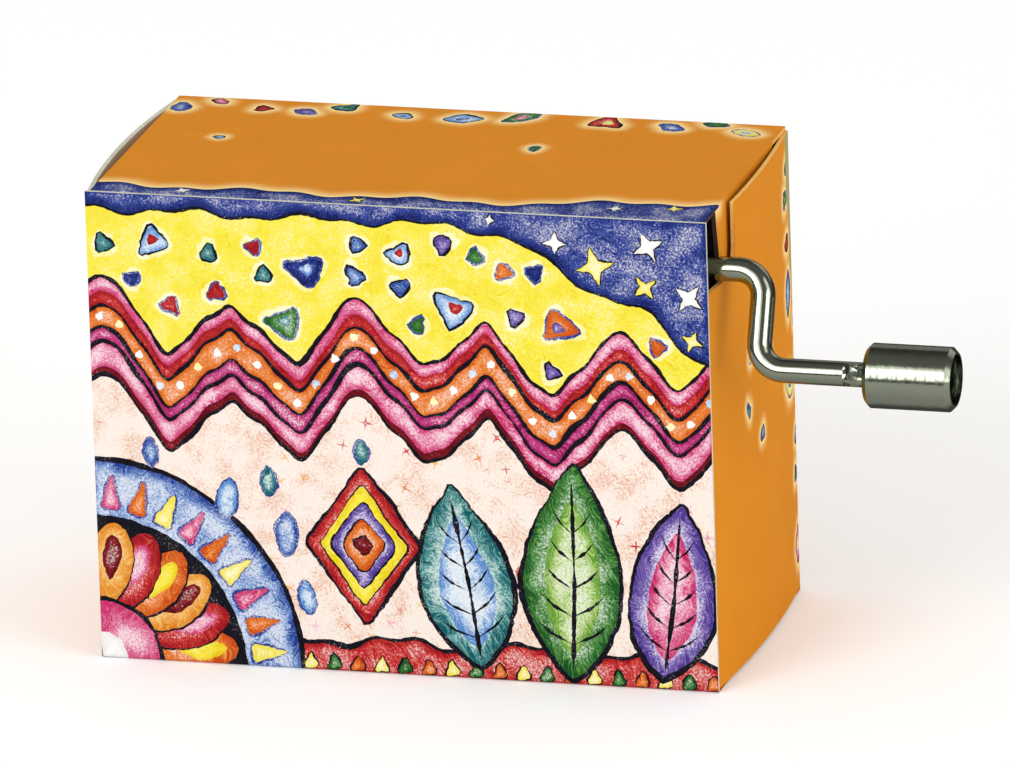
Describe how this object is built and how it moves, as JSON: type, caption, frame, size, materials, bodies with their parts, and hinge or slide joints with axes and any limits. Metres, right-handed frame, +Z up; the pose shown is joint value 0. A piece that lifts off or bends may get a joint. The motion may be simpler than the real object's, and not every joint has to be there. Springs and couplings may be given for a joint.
{
  "type": "hand-cranked music box",
  "caption": "Small folded cardboard box with a hinged lid that holds a comb music movement, played by a bent wire crank with a turning knob on its side.",
  "frame": {"origin": "centre of the carton's bottom face", "axes": "+X along the box's length towards the crank side, -Y out of the printed front, +Z up through the lid"},
  "size_m": [0.0848, 0.0339, 0.046],
  "materials": {
    "board": "printed board, satin varnish outside, bare grey inside",
    "nickel": "polished nickel plate",
    "brass": "satin, turned",
    "zinc": "die cast, matt",
    "spring_steel": "ground lengthwise",
    "sheet_steel": "zinc plated",
    "lead": "dull grey lead",
    "damper_film": "milky film",
    "wheel_plastic": "moulded, natural"
  },
  "bodies": {
    "carton": {"carton_body": "board", "base_plate": "zinc", "comb": "spring_steel", "bass_weights": "lead", "comb_dampers": "damper_film", "drum_bracket_lower": "sheet_steel", "drum_bracket_upper": "sheet_steel", "crank_bracket_inner": "sheet_steel", "crank_bracket_outer": "sheet_steel", "drum_bushes": "brass", "crank_bushes": "brass"},
    "lid": {"carton_lid": "board"},
    "crank": {"crank_wire": "nickel", "worm": "brass"},
    "knob": {"crank_knob": "nickel"},
    "drum": {"drum_sleeve": "brass", "drum_caps": "zinc", "drum_arbor": "spring_steel", "worm_wheel": "wheel_plastic", "retaining_ring": "sheet_steel", "thrust_washers": "brass"}
  },
  "joints": [
    {"name": "lid_hinge", "type": "hinge", "parent": "carton", "child": "lid", "pos_m": [0, 0.0153, 0.0458], "axis": [-1, 0, 0], "range_deg": [0, 110]},
    {"name": "crank_spin", "type": "hinge", "parent": "carton", "child": "crank", "pos_m": [0.03, -0.0117, 0.04047], "axis": [1, 0, 0], "continuous": true},
    {"name": "knob_spin", "type": "hinge", "parent": "crank", "child": "knob", "pos_m": [0.0494, -0.01537, 0.03203], "axis": [1, 0, 0], "continuous": true},
    {"name": "drum_spin", "type": "hinge", "parent": "carton", "child": "drum", "pos_m": [0.011, -0.00315, 0.02], "axis": [0, 0, 1], "continuous": true}
  ],
  "couplings": [
    {"joint": "drum_spin", "follows": "crank_spin", "ratio": -0.0625}
  ]
}
